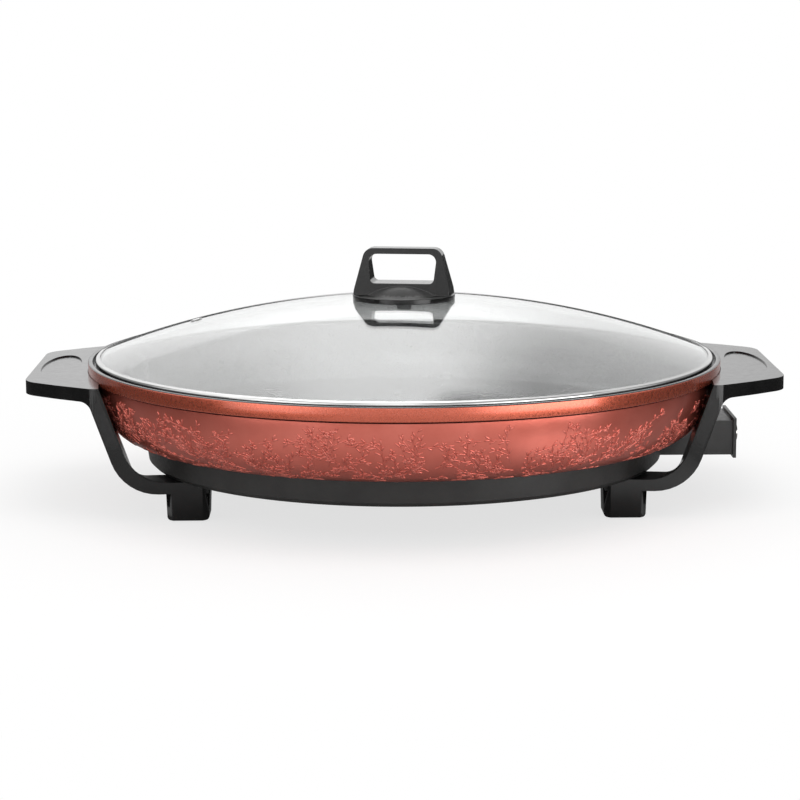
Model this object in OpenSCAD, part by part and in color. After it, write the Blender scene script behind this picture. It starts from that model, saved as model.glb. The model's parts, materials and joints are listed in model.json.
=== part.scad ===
// Round electric skillet with a lift-off glass lid, on two moulded handle stands.
// Millimetres. The origin is on the table under the pan's centre, +Z is up, +X points out of
// the inlet for the plug-in control, and +Y points to the back.

/* [Pan] */
// Outer radius of the rim band
pan_r = 200; // [190:1:210]
// Height of the rim band
rim_band_h = 8.6; // [7.6:0.2:11]
// How far the rim band stands out from the wall below it
rim_step = 3.5; // [2.5:0.1:5]
// Width of the rim's flat top
rim_top_w = 3; // [2:0.1:4]
// Depth of the lid's seat below the rim's top
seat_depth = 4; // [3:0.1:5]
// Width of the lid's seat
seat_w = 6.5; // [6:0.1:8]
// Height of the curved wall below the rim band
bowl_h = 39.9; // [36:0.5:46]
// Width of the wall's curve, seen from above
bowl_w = 29.5; // [26:0.5:32]
// Thickness of the pan's floor
pan_floor = 4.5; // [4:0.1:6]
// Radius of the screw bosses under the floor
boss_r = 5; // [4:0.1:5.5]

/* [Base shell] */
// Height of the base's underside above the table
base_z = 24.1; // [21:0.1:28]
// Height of the base shell
base_h = 16.5; // [15:0.5:20]
// Inset of the base shell's foot from the flat part of the pan
base_inset = 4; // [3:0.5:9]
// How far the shell's wall leans out at the top
base_flare = 2; // [0.5:0.1:3]
// Thickness of the shell's sheet
base_t = 1.5; // [1:0.1:2]
// Chamfer of the shell's bottom edge
base_edge = 2.5; // [2:0.1:4]

/* [Handle stands] */
// Reach of the handle past the rim
handle_reach = 34; // [30:1:44]
// Half width of the handle's tip
tip_half = 60; // [54:1:66]
// Drop of the handle's top below the rim's top
handle_drop = 6.3; // [5.5:0.1:8]
// Thickness of the handle at its tip
tip_t = 8.2; // [7:0.1:9]
// Thickness of the handle at its root
root_t = 8.4; // [7.5:0.1:10]
// Inset of the handle's root from the rim
root_inset = 10; // [8:0.5:13]
// Rounding of the handle's tip corners
tip_round = 20; // [12:1:26]
// How far the handle's flanks bow out
flank_bow = 1; // [0.5:0.5:3]
// Distance of the feet's outer faces from the middle
leg_half = 86; // [82:1:90]
// Depth of a leg
leg_d = 26; // [23:1:28]
// Lean of a leg from upright, in degrees
leg_lean = 19.5; // [17:0.5:21]
// Splay of a leg from its foot towards the handle, in degrees
leg_splay = 5.5; // [3:0.5:8]
// Thickness of a leg, measured level
leg_t = 9.5; // [9:0.1:11]
// Inset from the rim of the leg's outer face, where it would meet the strip's underside
toe_inset = 27; // [23:0.5:28]
// Thickness of the strip under the base
strip_t = 7; // [6:0.1:8]
// Outer bend of a leg
bend_out = 30; // [26:1:36]
// Inner bend of a leg
bend_in = 10; // [6:1:14]
// Inner bend of the web on a leg's outer side
web_bend = 25; // [22:1:28]
// Thickness of that web
web_t = 5; // [4:0.5:8]
// Fillet between a leg and its handle
leg_fillet = 7; // [5:1:12]
// Depth of the thumb recess in the handle
thumb_depth = 0.9; // [0.5:0.1:1.5]
// Half length of the thumb recess
thumb_half = 45; // [40:1:50]
// Half width of the thumb recess
thumb_w = 12; // [9:0.5:13]

/* [Feet] */
// Distance from a foot's middle to the rim, sideways
foot_inset = 66.8; // [64:0.2:72]
// Width of a foot at its sole
foot_w = 25.5; // [24:0.5:28]
// Widening of a foot's side towards its top
foot_draft = 0.9; // [0.2:0.1:1.5]
// Chamfer on a foot's upright corners
foot_chamfer = 4.6; // [2:0.1:6]
// Radius of a rubber pad
pad_r = 8; // [7:0.1:9]
// Thickness of a rubber pad
pad_t = 2.6; // [2:0.1:4]
// How far a pad stands below its foot
pad_proud = 0.4; // [0.3:0.1:1]

/* [Lid] */
// Gap between the rim and the steel ring
ring_gap = 1.8; // [1:0.1:2.4]
// Width of the steel ring
ring_w = 2.8; // [2.6:0.1:4.2]
// Sheet thickness of the ring
ring_t = 0.5; // [0.4:0.1:0.8]
// Thickness of the glass
glass_t = 4; // [3:0.1:5]
// Rise of the glass dome
dome_rise = 35.7; // [30:0.1:42]
// Distance of the steam vent from the lid's edge, sideways
vent_inset = 61.6; // [45:0.2:100]
// Front to back position of the steam vent
vent_y = 25; // [-40:1:40]
// Radius of the vent's flange
vent_flange_r = 3.7; // [3:0.1:5]
// Radius of the vent's tube
vent_tube_r = 2.3; // [2:0.1:2.7]
// Radius of the vent's hole
vent_hole_r = 1.4; // [1:0.1:1.6]

/* [Knob] */
// Radius of the knob's skirt
skirt_r = 32.5; // [31:0.5:36]
// Thickness of the skirt's edge
skirt_t = 2.2; // [1.5:0.1:3]
// Height of the skirt's bell
bell_h = 9.4; // [9.2:0.1:10.5]
// Radius of the skirt's bell
bell_r = 24.5; // [22:0.5:29]
// Height of the loop above the skirt's underside
loop_h = 31.6; // [29:0.2:36]
// Inset of the loop's foot from the skirt's edge
loop_inset = 0.6; // [0.4:0.1:4]
// Half width of the loop at its top
loop_top = 24; // [23.4:0.2:26]
// Depth of the loop at its foot
loop_d = 24; // [20:0.5:24]
// Depth of the loop at its top
loop_top_d = 11; // [9:0.5:14]
// Thickness of the loop's lower bar, over the bell
sill_t = 0.3; // [0.1:0.1:2]
// Thickness of the loop's top bar
bar_t = 3.6; // [3.2:0.1:6]
// Half width of the finger window
window_half = 22; // [19:0.2:22.4]
// Turn of the knob, in degrees
knob_turn = -9; // [-10:1:10]
// Radius of the screw through the glass
lid_screw_r = 2.4; // [2:0.1:2.6]
// How far that screw goes into the knob
lid_bite = 8; // [6:0.5:9]

/* [Inlet] */
// Outer width of the inlet housing
inlet_w = 46; // [44:0.5:50]
// Height of the inlet housing
inlet_h = 21.8; // [21:0.2:24]
// Depth of the housing's underside below the terminal pins
inlet_drop = 10.3; // [9.6:0.1:10.4]
// Wall of the inlet housing
inlet_t = 2; // [1.6:0.1:2.4]
// Reach of the inlet's mouth past the rim
mouth_reach = 9.5; // [6:0.5:14]
// How far the mouth's lip stands out
lip_out = 1.8; // [1:0.1:2.5]
// Thickness of the mouth's lip
lip_t = 2; // [1.5:0.1:3]
// Radius of a terminal pin
pin_r = 2.4; // [2:0.1:2.6]
// Distance between the terminal pins
pin_gap = 26; // [24:0.5:28]
// Free length of a terminal pin
pin_l = 18; // [16:0.5:20]
// Inner radius of the probe's guide tube
probe_r = 3.6; // [3:0.1:3.8]
// Wall of the guide tube
probe_t = 1.3; // [1:0.1:1.4]
// How far the guide tube stands out of the mouth
probe_out = 3.6; // [2:0.1:5]
// Free depth of the guide tube
probe_depth = 70; // [64:1:74]

/* [Heater] */
// Radius of the element's loop
heater_loop_r = 110; // [100:1:114]
// Radius of the element's sheath
heater_r = 3.3; // [3:0.1:3.6]
// Bend radius where the element turns out to its terminals
heater_bend = 14; // [12:0.5:16]
// Inset of the heat shield from the base shell
shield_inset = 28; // [24:1:40]
// Sheet thickness of the heat shield
shield_t = 0.8; // [0.6:0.1:1.2]

/* [Hidden] */
$fn = 96;

// Clearances: between fitted pieces, between a piece and its seat, and round a screw
slip = 0.3;
fit = 0.1;
hole_slack = 0.4;
// Overshoot of cutting shapes
past = 1;
// Steps in a quarter curve, a rounded corner, the bell, the dome and an ellipse
curve_steps = 12;
round_steps = 8;
bell_steps = 8;
dome_steps = 20;
ellipse_steps = 48;
quarter_turn = 90;
half_turn = 180;
full_turn = 360;

// Levels, from the table up
floor_z = base_z + base_t;
pan_z = base_z + base_h;
step_z = pan_z + bowl_h;
rim_z = step_z + rim_band_h;
seat_z = rim_z - seat_depth;
handle_z = rim_z - handle_drop;

// Radii of the pan and of the shell under it
wall_r = pan_r - rim_step;
bowl_c = wall_r - bowl_w;
rim_in_r = pan_r - rim_top_w;
pan_in_r = rim_in_r - seat_w;
base_r = bowl_c - base_inset;
edge_in = base_edge - base_t / 2;
rim_edge = 1;
groove_h = 0.8;
groove_in = 0.9;

// Handle stands
foot_x = pan_r - foot_inset;
foot_y = leg_half - leg_d / 2;
tip_x = pan_r + handle_reach;
root_x = pan_r - root_inset;
root_half = leg_half + (root_x - foot_x) * tan(leg_splay);
heel_x = foot_x - foot_w / 2;
strip_z = base_z - strip_t;
toe_x = pan_r - toe_inset;
flank_round = 60;
root_round = 10;
thumb_inset = 4;
thumb_x = tip_x - thumb_w - thumb_inset;

// Feet and the screws that hold them
foot_round = 2;
foot_screw_r = 2.3;
foot_head_r = 4.6;
foot_head_h = 3.2;
foot_head_z = 10;
foot_bite = 9;

// Heating element, its clamps and the shield below it
heater_z = pan_z - heater_r - fit;
swage = 0.05;
pin_y = pin_gap / 2;
heater_open = asin((pin_y + heater_bend) / (heater_loop_r + heater_bend));
clamp_w = 10;
clamp_ear = 8;
clamp_t = 1.4;
clamp_half = heater_r + slip + clamp_t + clamp_ear;
clamp_angles = [55, 125, 235, 305];
clamp_screw_r = 1.5;
clamp_head_r = 2.8;
clamp_head_h = 1.8;
clamp_bite = 3;
shield_r = base_r - shield_inset;
shield_gap = 2.5;
shield_z = floor_z + shield_gap;
shield_boss_r = 7;
shield_screw_r = 2.3;
shield_head_r = 4.6;
shield_head_h = 2.6;
shield_bite = 8;
rib_w = 3;
rib_clear = 1;
rib_inset = 11;
rib_radii = [shield_boss_r + rib_clear, shield_r - rib_inset];

// Inlet for the plug-in control
mouth_x = pan_r + mouth_reach;
inlet_z = heater_z - inlet_drop;
inlet_tail = 16;
inlet_tail_x = base_r - inlet_tail;
inlet_screw_in = 6;
inlet_screw_x = inlet_tail_x + inlet_screw_in;
inlet_screw_y = 15;
inlet_screw_r = 1.9;
inlet_head_r = 3.6;
inlet_head_h = 2;
inlet_boss_r = 4.2;
pin_recess = 5;
pin_neck = 0.4;
bead_l = 4;
bead_t = 2;
block_t = 6;
block_x = mouth_x - pin_recess - pin_l - bead_l - block_t;
block_front = block_x + block_t;
block_top = 8;
probe_out_r = probe_r + probe_t;
probe_end_x = mouth_x + probe_out;
probe_back = 3;
probe_in_x = probe_end_x - probe_depth - probe_back;
probe_seat = 12;
probe_boss_wall = 2;
probe_boss_half = probe_out_r + probe_boss_wall;

// Lid
ring_r = rim_in_r - ring_gap;
ring_in_r = ring_r - ring_w;
glass_r = ring_r - ring_t - slip;
glass_z = seat_z + ring_t + fit;
dome_in_r = (glass_r * glass_r + dome_rise * dome_rise) / (2 * dome_rise);
dome_out_r = dome_in_r + glass_t;
dome_c = glass_z + dome_rise - dome_in_r;
apex_z = dome_c + dome_out_r;
hole_lining = 2;
glass_hole_r = lid_screw_r + hole_lining;
vent_x = vent_inset - ring_r;
vent_t = 0.6;

// Knob and the pieces that clamp it to the glass
knob_z = apex_z + slip;
loop_foot = skirt_r - loop_inset;
sill_h = bell_h + sill_t;
loop_round = 6.5;
window_round = 5;
window_lean = 2;
sill_round = 3;
gasket_r = 13;
dish_r = 14;
gasket_t = 1.2;
sleeve_r = 10;
sleeve_t = 1.2;
washer_r = 8.5;
washer_t = 1;
under_z = dome_low(sleeve_r) - fit;
lid_head_z = under_z - sleeve_t - washer_t;
lid_head_r = 4.6;
lid_head_h = 2.8;

// Height of the glass dome's upper and lower face at radius r
function dome_top(r) = dome_c + sqrt(dome_out_r * dome_out_r - r * r);
function dome_low(r) = dome_c + sqrt(dome_in_r * dome_in_r - r * r);

// Height of the handle's underside at a distance x from the centre
function under(x) = handle_z - tip_t - (root_t - tip_t) * (tip_x - x) / (tip_x - root_x);

// A leg's faces lean out: distance of the outer face from the centre at height z
function leg_out(z) = toe_x + (z - strip_z) * tan(leg_lean);

// Quarter ellipse, from its side down to its bottom
function quarter(cx, cz, a, b) =
    [for (i = [0 : curve_steps]) let (t = quarter_turn * i / curve_steps) [cx + a * cos(t), cz - b * sin(t)]];

// The same points from last to first
function backwards(pts) = [for (i = [len(pts) - 1 : -1 : 0]) pts[i]];

// Arc of radius r in place of the corner b between a and c
function corner_arc(a, b, c, r) =
    let (u = (a - b) / norm(a - b),
         v = (c - b) / norm(c - b),
         half = acos(u * v) / 2,
         m = b + (u + v) / norm(u + v) * r / sin(half),
         p = b + u * r / tan(half) - m,
         q = b + v * r / tan(half) - m,
         start = atan2(p.y, p.x),
         d = atan2(q.y, q.x) - start,
         sweep = d > half_turn ? d - full_turn : d < -half_turn ? d + full_turn : d)
    [for (i = [0 : round_steps])
        let (t = start + sweep * i / round_steps) m + r * [cos(t), sin(t)]];

// Outline with its corners rounded, one radius for each point
function rounded(pts, radii) =
    let (n = len(pts))
    [for (i = [0 : n - 1])
        each radii[i] == 0 ? [pts[i]]
            : corner_arc(pts[(i + n - 1) % n], pts[i], pts[(i + 1) % n], radii[i])];

// Ellipse with semi-axes a and b
function ellipse(a, b) =
    [for (i = [0 : ellipse_steps - 1])
        let (t = full_turn * i / ellipse_steps) [a * cos(t), b * sin(t)]];

// Stands an outline drawn in X and Z between y0 and y1
module upright(y0, y1) {
    translate([0, y1, 0]) rotate([quarter_turn, 0, 0]) linear_extrude(y1 - y0) children();
}

// Cylinder along X
module along_x(r, x0, x1) {
    translate([x0, 0, 0]) rotate([0, quarter_turn, 0]) cylinder(r = r, h = x1 - x0);
}

// Screw that points up, with the underside of its head at z = 0
module screw(shank_r, shank_l, head_r, head_h) {
    cylinder(r = shank_r, h = shank_l);
    translate([0, 0, -head_h]) cylinder(r = head_r, h = head_h);
}

// Flat ring
module ring(r_out, r_in, h) {
    difference() {
        cylinder(r = r_out, h = h);
        translate([0, 0, -past]) cylinder(r = r_in, h = h + 2 * past);
    }
}

// Copies at the four feet
module at_feet() {
    for (sx = [-1, 1], sy = [-1, 1]) translate([sx * foot_x, sy * foot_y, 0]) children();
}

// Copies on the two terminals
module at_terminals() {
    for (s = [-1, 1]) translate([0, s * pin_y, heater_z]) children();
}

// Copies at the four clamps, with X pointing outwards
module at_clamps() {
    for (a = clamp_angles) rotate([0, 0, a]) translate([heater_loop_r, 0, pan_z]) children();
}

// Copies at the two screws of each clamp
module at_clamp_screws() {
    for (s = [-1, 1]) at_clamps() translate([s * (clamp_half - clamp_ear / 2), 0, 0]) children();
}

// Copies at the inlet's two screws
module at_inlet_screws() {
    for (s = [-1, 1]) translate([inlet_screw_x, s * inlet_screw_y, 0]) children();
}

// The room that the pan takes up, with a clearance, cut from what lies against it
module pan_room() {
    rotate_extrude() polygon(concat(
        [[0, rim_z + past], [pan_r + slip, rim_z + past], [pan_r + slip, step_z], [wall_r + slip, step_z]],
        quarter(bowl_c, step_z, bowl_w + slip, bowl_h + slip),
        [[0, pan_z - slip]]));
}

// Cast aluminium pan: rim band, lid seat, curved wall, and bosses under the floor
module pan() {
    inside = quarter(bowl_c, step_z, pan_in_r - bowl_c, bowl_h - pan_floor);
    color("firebrick") difference() {
        union() {
            rotate_extrude() polygon(concat(
                [[rim_in_r, rim_z], [pan_r - rim_edge, rim_z], [pan_r, rim_z - rim_edge]],
                [[pan_r, step_z + groove_h], [pan_r - groove_in, step_z]],
                quarter(bowl_c, step_z, bowl_w, bowl_h),
                [[0, pan_z], [0, pan_z + pan_floor]],
                backwards(inside),
                [[pan_in_r, seat_z], [rim_in_r, seat_z]]));
            at_feet() translate([0, 0, floor_z]) cylinder(r = boss_r, h = pan_z - floor_z + past);
            translate([0, 0, shield_z + shield_t])
                cylinder(r = shield_boss_r, h = pan_z - shield_z - shield_t + past);
            translate([probe_in_x - probe_boss_wall, -probe_boss_half, heater_z - probe_boss_half])
                cube([probe_seat + probe_boss_wall, 2 * probe_boss_half,
                      pan_z + past - heater_z + probe_boss_half]);
        }
        at_feet() translate([0, 0, floor_z - past])
            cylinder(r = foot_screw_r + fit, h = foot_bite + past + fit);
        translate([0, 0, shield_z]) cylinder(r = shield_screw_r + fit, h = shield_t + shield_bite + fit);
        translate([0, 0, heater_z]) along_x(probe_out_r + fit, probe_in_x - fit, pan_r);
        at_clamp_screws() translate([0, 0, -past])
            cylinder(r = clamp_screw_r + fit, h = clamp_bite + past + fit);
    }
}

// Pressed black shell that closes the heater's space from below
module base_shell() {
    color("dimgray") difference() {
        union() {
            rotate_extrude() polygon([
                [0, base_z], [base_r - base_edge, base_z], [base_r, base_z + base_edge],
                [base_r + base_flare, pan_z], [base_r + base_flare - base_t, pan_z],
                [base_r - base_t, floor_z + edge_in],
                [base_r - base_t - edge_in, floor_z], [0, floor_z]]);
            for (r = rib_radii) translate([0, 0, floor_z]) ring(r + rib_w, r, shield_gap);
        }
        translate([inlet_tail_x, -inlet_w / 2 - slip, inlet_z - slip])
            cube([inlet_tail + base_flare + past, inlet_w + 2 * slip, base_h + past]);
        at_feet() translate([0, 0, base_z - past])
            cylinder(r = foot_screw_r + hole_slack, h = base_t + 2 * past);
        at_inlet_screws() translate([0, 0, base_z - past])
            cylinder(r = inlet_screw_r + hole_slack, h = base_t + 2 * past);
        translate([0, 0, base_z - past])
            cylinder(r = shield_screw_r + hole_slack, h = base_t + 2 * past);
    }
}

// Handle's plate, seen from above
module handle_plan() {
    tip = [tip_x, tip_half];
    root = [root_x, root_half];
    along = (root - tip) / norm(root - tip);
    flank = (tip + root) / 2 + flank_bow * [along.y, -along.x];
    half = [tip, flank, root, [heel_x, root_half]];
    radii = [tip_round, flank_round, root_round, 0];
    other = [for (p = backwards(half)) [p.x, -p.y]];
    polygon(rounded(concat(half, other), concat(radii, backwards(radii))));
}

// One leg and its strip with an inner bend of radius r, seen from the front
module leg_outline(r) {
    top_x = leg_out(handle_z) - leg_t;
    heel = under(leg_out(under(root_x)));
    reach_x = leg_out(heel) + 2 * leg_fillet;
    polygon(rounded(
        [[reach_x, under(reach_x)], [leg_out(heel), heel], [leg_out(strip_z), strip_z],
         [heel_x, strip_z], [heel_x, base_z], [leg_out(base_z) - leg_t, base_z],
         [top_x, handle_z], [reach_x, handle_z]],
        [0, leg_fillet, bend_out, 0, 0, r, 0, 0]));
}

// One foot, seen from the front
module foot_outline() {
    half = foot_w / 2;
    polygon(rounded(
        [[foot_x - half, pad_proud], [foot_x + half, pad_proud],
         [foot_x + half + foot_draft, base_z], [foot_x - half - foot_draft, base_z]],
        [foot_round, foot_round, 0, 0]));
}

// One foot, seen from above
module foot_plan() {
    a = foot_w / 2 + foot_draft;
    b = leg_d / 2;
    c = foot_chamfer;
    translate([foot_x, foot_y]) polygon([
        [a, b - c], [a - c, b], [c - a, b], [-a, b - c],
        [-a, c - b], [c - a, -b], [a - c, -b], [a, c - b]]);
}

// Black moulding on the right: a handle with two legs and their feet
module handle_stand() {
    difference() {
        union() {
            intersection() {
                linear_extrude(rim_z) handle_plan();
                union() {
                    upright(-root_half, root_half) polygon([
                        [leg_out(handle_z) - leg_t, under(root_x)], [root_x, under(root_x)],
                        [tip_x, under(tip_x)], [tip_x, handle_z], [leg_out(handle_z) - leg_t, handle_z]]);
                    for (s = [0, 1]) mirror([0, s, 0]) translate([foot_x, foot_y, 0])
                        rotate([0, 0, leg_splay]) translate([-foot_x, 0, 0]) {
                            upright(-leg_d / 2, leg_d / 2) leg_outline(bend_in);
                            upright(leg_d / 2 - web_t, leg_d / 2) leg_outline(web_bend);
                        }
                }
            }
            for (s = [0, 1]) mirror([0, s, 0]) intersection() {
                upright(leg_half - leg_d, leg_half) foot_outline();
                linear_extrude(base_z) foot_plan();
            }
        }
        pan_room();
        translate([thumb_x, 0, handle_z - thumb_depth])
            linear_extrude(thumb_depth + past) polygon(ellipse(thumb_w, thumb_half));
        at_feet() {
            translate([0, 0, -past]) cylinder(r = pad_r + slip, h = pad_t + past);
            translate([0, 0, -past]) cylinder(r = foot_head_r + hole_slack, h = foot_head_z + past);
            translate([0, 0, -past]) cylinder(r = foot_screw_r + hole_slack, h = base_z + 2 * past);
        }
    }
}

module handle_stand_right() {
    color("black") handle_stand();
}

module handle_stand_left() {
    color("black") mirror([1, 0, 0]) handle_stand();
}

// Rubber pads under the feet
module foot_pads() {
    color("darkslategray") at_feet() cylinder(r = pad_r, h = pad_t);
}

// Screws through the feet and the shell into the pan's bosses
module foot_screws() {
    color("silver") at_feet() translate([0, 0, foot_head_z])
        screw(foot_screw_r, floor_z - foot_head_z + foot_bite, foot_head_r, foot_head_h);
}

// Sheathed element: a loop under the floor that turns out to the two terminals
module heating_element() {
    bend_c = (heater_loop_r + heater_bend) * [cos(heater_open), sin(heater_open)];
    color("gray") translate([0, 0, heater_z]) {
        rotate([0, 0, heater_open]) rotate_extrude(angle = full_turn - 2 * heater_open)
            translate([heater_loop_r, 0]) circle(heater_r);
        for (s = [0, 1]) mirror([0, s, 0]) {
            rotate([0, 0, heater_open]) translate([heater_loop_r, 0, 0]) sphere(heater_r + swage);
            translate([bend_c.x, bend_c.y, 0]) rotate([0, 0, half_turn + heater_open])
                rotate_extrude(angle = quarter_turn - heater_open)
                    translate([heater_bend, 0]) circle(heater_r);
            translate([bend_c.x, pin_y, 0]) sphere(heater_r + swage);
            translate([0, pin_y, 0]) along_x(heater_r, bend_c.x, block_x);
        }
    }
}

// Straps that hold the element against the floor
module element_clamps() {
    room = heater_r + slip;
    drop = pan_z - heater_z + heater_r + fit;
    color("lightgray") difference() {
        at_clamps() difference() {
            union() {
                translate([-clamp_half, -clamp_w / 2, -clamp_t]) cube([2 * clamp_half, clamp_w, clamp_t]);
                translate([-room - clamp_t, -clamp_w / 2, -drop - clamp_t])
                    cube([2 * (room + clamp_t), clamp_w, drop + clamp_t]);
            }
            translate([-room, -clamp_w, -drop]) cube([2 * room, 2 * clamp_w, drop + past]);
        }
        at_clamp_screws() translate([0, 0, -clamp_t - past])
            cylinder(r = clamp_screw_r + fit, h = clamp_t + 2 * past);
    }
}

module clamp_screws() {
    color("silver") at_clamp_screws() translate([0, 0, -clamp_t])
        screw(clamp_screw_r, clamp_t + clamp_bite, clamp_head_r, clamp_head_h);
}

// Bright sheet that keeps the heat off the shell
module heat_shield() {
    color("gainsboro") translate([0, 0, shield_z])
        ring(shield_r, shield_screw_r + hole_slack, shield_t);
}

// Screw up through the shell and the shield into the pan
module shield_screw() {
    color("silver") translate([0, 0, base_z])
        screw(shield_screw_r, shield_z + shield_t - base_z + shield_bite, shield_head_r, shield_head_h);
}

// Black box with a lipped mouth that takes the plug-in control
module inlet_housing() {
    color("black") difference() {
        union() {
            translate([inlet_tail_x, -inlet_w / 2, inlet_z])
                cube([mouth_x - inlet_tail_x, inlet_w, inlet_h]);
            translate([mouth_x - lip_t, -inlet_w / 2 - lip_out, inlet_z - lip_out])
                cube([lip_t, inlet_w + 2 * lip_out, inlet_h + 2 * lip_out]);
            at_inlet_screws() translate([0, 0, floor_z])
                cylinder(r = inlet_boss_r, h = inlet_z + inlet_t - floor_z);
        }
        translate([inlet_tail_x - past, inlet_t - inlet_w / 2, inlet_z + inlet_t])
            cube([mouth_x - inlet_tail_x + 2 * past, inlet_w - 2 * inlet_t, inlet_h - 2 * inlet_t]);
        at_inlet_screws() translate([0, 0, floor_z - past])
            cylinder(r = inlet_screw_r + fit, h = inlet_z + inlet_t - floor_z + 2 * past);
        pan_room();
    }
}

module inlet_screws() {
    color("silver") at_inlet_screws() translate([0, 0, base_z])
        screw(inlet_screw_r, inlet_z + inlet_t - base_z, inlet_head_r, inlet_head_h);
}

// Insulator that carries the terminals and the guide tube
module terminal_block() {
    width = inlet_w - 2 * (inlet_t + fit);
    low = inlet_z + inlet_t + fit;
    color("antiquewhite") difference() {
        translate([block_x, -width / 2, low]) cube([block_t, width, heater_z + block_top - low]);
        at_terminals() along_x(pin_r - pin_neck + fit, block_x - past, block_front + past);
        translate([0, 0, heater_z]) along_x(probe_out_r + fit, block_x - past, block_front + past);
        pan_room();
    }
}

// Ceramic beads on the terminals
module terminal_beads() {
    color("ivory") at_terminals() difference() {
        along_x(pin_r + bead_t, block_front, block_front + bead_l);
        along_x(pin_r - pin_neck + fit, block_front - past, block_front + bead_l + past);
    }
}

// Plated terminal pins, necked where they pass through the insulators
module terminal_pins() {
    shoulder = block_front + bead_l;
    color("goldenrod") at_terminals() {
        along_x(pin_r - pin_neck, block_x, shoulder);
        along_x(pin_r, shoulder, shoulder + pin_l);
    }
}

// Blind guide tube for the control's temperature probe
module probe_tube() {
    color("silver") translate([0, 0, heater_z]) difference() {
        along_x(probe_out_r, probe_in_x, probe_end_x);
        along_x(probe_r, probe_in_x + probe_back, probe_end_x + past);
    }
}

// Puts a piece on the dome at the vent, with Z along the glass's normal
module at_vent() {
    r = norm([vent_x, vent_y]);
    translate([0, 0, dome_c]) rotate([0, asin(r / dome_out_r), atan2(vent_y, vent_x)])
        translate([0, 0, dome_out_r]) children();
}

// Toughened glass dome with a hole for the knob's screw and one for the vent
module lid_glass() {
    radii = [for (i = [0 : dome_steps]) glass_hole_r + (glass_r - glass_hole_r) * i / dome_steps];
    color("lightcyan", 0.4) difference() {
        rotate_extrude() polygon(concat(
            [for (r = radii) [r, dome_top(r)]],
            backwards([for (r = radii) [r, dome_low(r)]])));
        at_vent() translate([0, 0, -glass_t - past]) cylinder(r = vent_tube_r + fit, h = glass_t + 2 * past);
    }
}

// Steel band folded round the edge of the glass
module lid_ring() {
    edge_z = dome_top(glass_r) + fit + ring_t;
    lip_z = dome_top(ring_in_r) + fit + ring_t;
    color("silver") rotate_extrude() polygon([
        [ring_in_r, seat_z], [ring_r, seat_z], [ring_r, edge_z], [ring_in_r, lip_z],
        [ring_in_r, lip_z - ring_t], [ring_r - ring_t, edge_z - ring_t],
        [ring_r - ring_t, seat_z + ring_t], [ring_in_r, seat_z + ring_t]]);
}

// Steel eyelet in the vent's hole
module vent_eyelet() {
    low = -glass_t - fit - vent_t;
    color("silver") at_vent() difference() {
        union() {
            translate([0, 0, fit]) cylinder(r = vent_flange_r, h = vent_t);
            translate([0, 0, low]) cylinder(r = vent_tube_r, h = fit + vent_t - low);
            translate([0, 0, low]) cylinder(r = vent_flange_r, h = vent_t);
        }
        translate([0, 0, low - past]) cylinder(r = vent_hole_r, h = fit + vent_t - low + 2 * past);
    }
}

// Knob's loop and its finger window, seen from the front
module loop_outline() {
    window_top = loop_h - bar_t;
    difference() {
        polygon(rounded(
            [[-loop_foot, 0], [loop_foot, 0], [loop_top, loop_h], [-loop_top, loop_h]],
            [0, 0, loop_round, loop_round]));
        polygon(rounded(
            [[window_lean - window_half, sill_h], [window_half - window_lean, sill_h],
             [window_half, window_top], [-window_half, window_top]],
            [sill_round, sill_round, window_round, window_round]));
    }
}

// Knob's loop, seen from the side: deeper at its foot than at its top
module loop_side() {
    polygon([[-loop_d / 2, 0], [loop_d / 2, 0], [loop_top_d / 2, loop_h], [-loop_top_d / 2, loop_h]]);
}

// Black knob: a round skirt that follows the glass and flares up into a loop for the fingers
module lid_knob() {
    bell = [for (i = [0 : bell_steps])
        let (r = bell_r * (1 - i / bell_steps))
        [r, skirt_t + (bell_h - skirt_t) * (1 - pow(r / bell_r, 2))]];
    dish_z = dome_top(skirt_r) + slip - knob_z;
    color("black") translate([0, 0, knob_z]) rotate([0, 0, knob_turn]) difference() {
        union() {
            rotate_extrude() polygon(concat(
                [[0, 0], [dish_r, 0], [skirt_r, dish_z], [skirt_r, skirt_t]], bell));
            intersection() {
                upright(-loop_d / 2, loop_d / 2) loop_outline();
                translate([-skirt_r, 0, 0]) rotate([quarter_turn, 0, quarter_turn])
                    linear_extrude(2 * skirt_r) loop_side();
                cylinder(r = skirt_r - slip, h = loop_h);
            }
        }
        translate([0, 0, -past]) cylinder(r = gasket_r + slip, h = gasket_t - slip + past);
        translate([0, 0, -past]) cylinder(r = lid_screw_r + fit, h = lid_bite + past + fit);
    }
}

// Soft washer between the knob and the glass
module knob_gasket() {
    color("dimgray") translate([0, 0, apex_z]) ring(gasket_r, lid_screw_r + slip, gasket_t);
}

// Soft bush that lines the hole in the glass and spreads the load below it
module knob_sleeve() {
    color("dimgray") difference() {
        union() {
            translate([0, 0, under_z - sleeve_t]) cylinder(r = sleeve_r, h = sleeve_t);
            translate([0, 0, under_z]) cylinder(r = glass_hole_r - slip, h = apex_z - under_z - fit);
        }
        translate([0, 0, under_z - sleeve_t - past])
            cylinder(r = lid_screw_r + slip, h = apex_z - under_z + sleeve_t + 2 * past);
    }
}

// Steel washer under the bush
module knob_washer() {
    color("silver") translate([0, 0, lid_head_z]) ring(washer_r, lid_screw_r + slip, washer_t);
}

// Screw up through the glass into the knob
module knob_screw() {
    color("silver") translate([0, 0, lid_head_z])
        screw(lid_screw_r, knob_z - lid_head_z + lid_bite, lid_head_r, lid_head_h);
}

pan();
base_shell();
handle_stand_left();
handle_stand_right();
foot_pads();
foot_screws();
heating_element();
element_clamps();
clamp_screws();
heat_shield();
shield_screw();
inlet_housing();
inlet_screws();
terminal_block();
terminal_beads();
terminal_pins();
probe_tube();
lid_glass();
lid_ring();
vent_eyelet();
lid_knob();
knob_gasket();
knob_sleeve();
knob_washer();
knob_screw();
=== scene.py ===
import json
import math
import random

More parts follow.
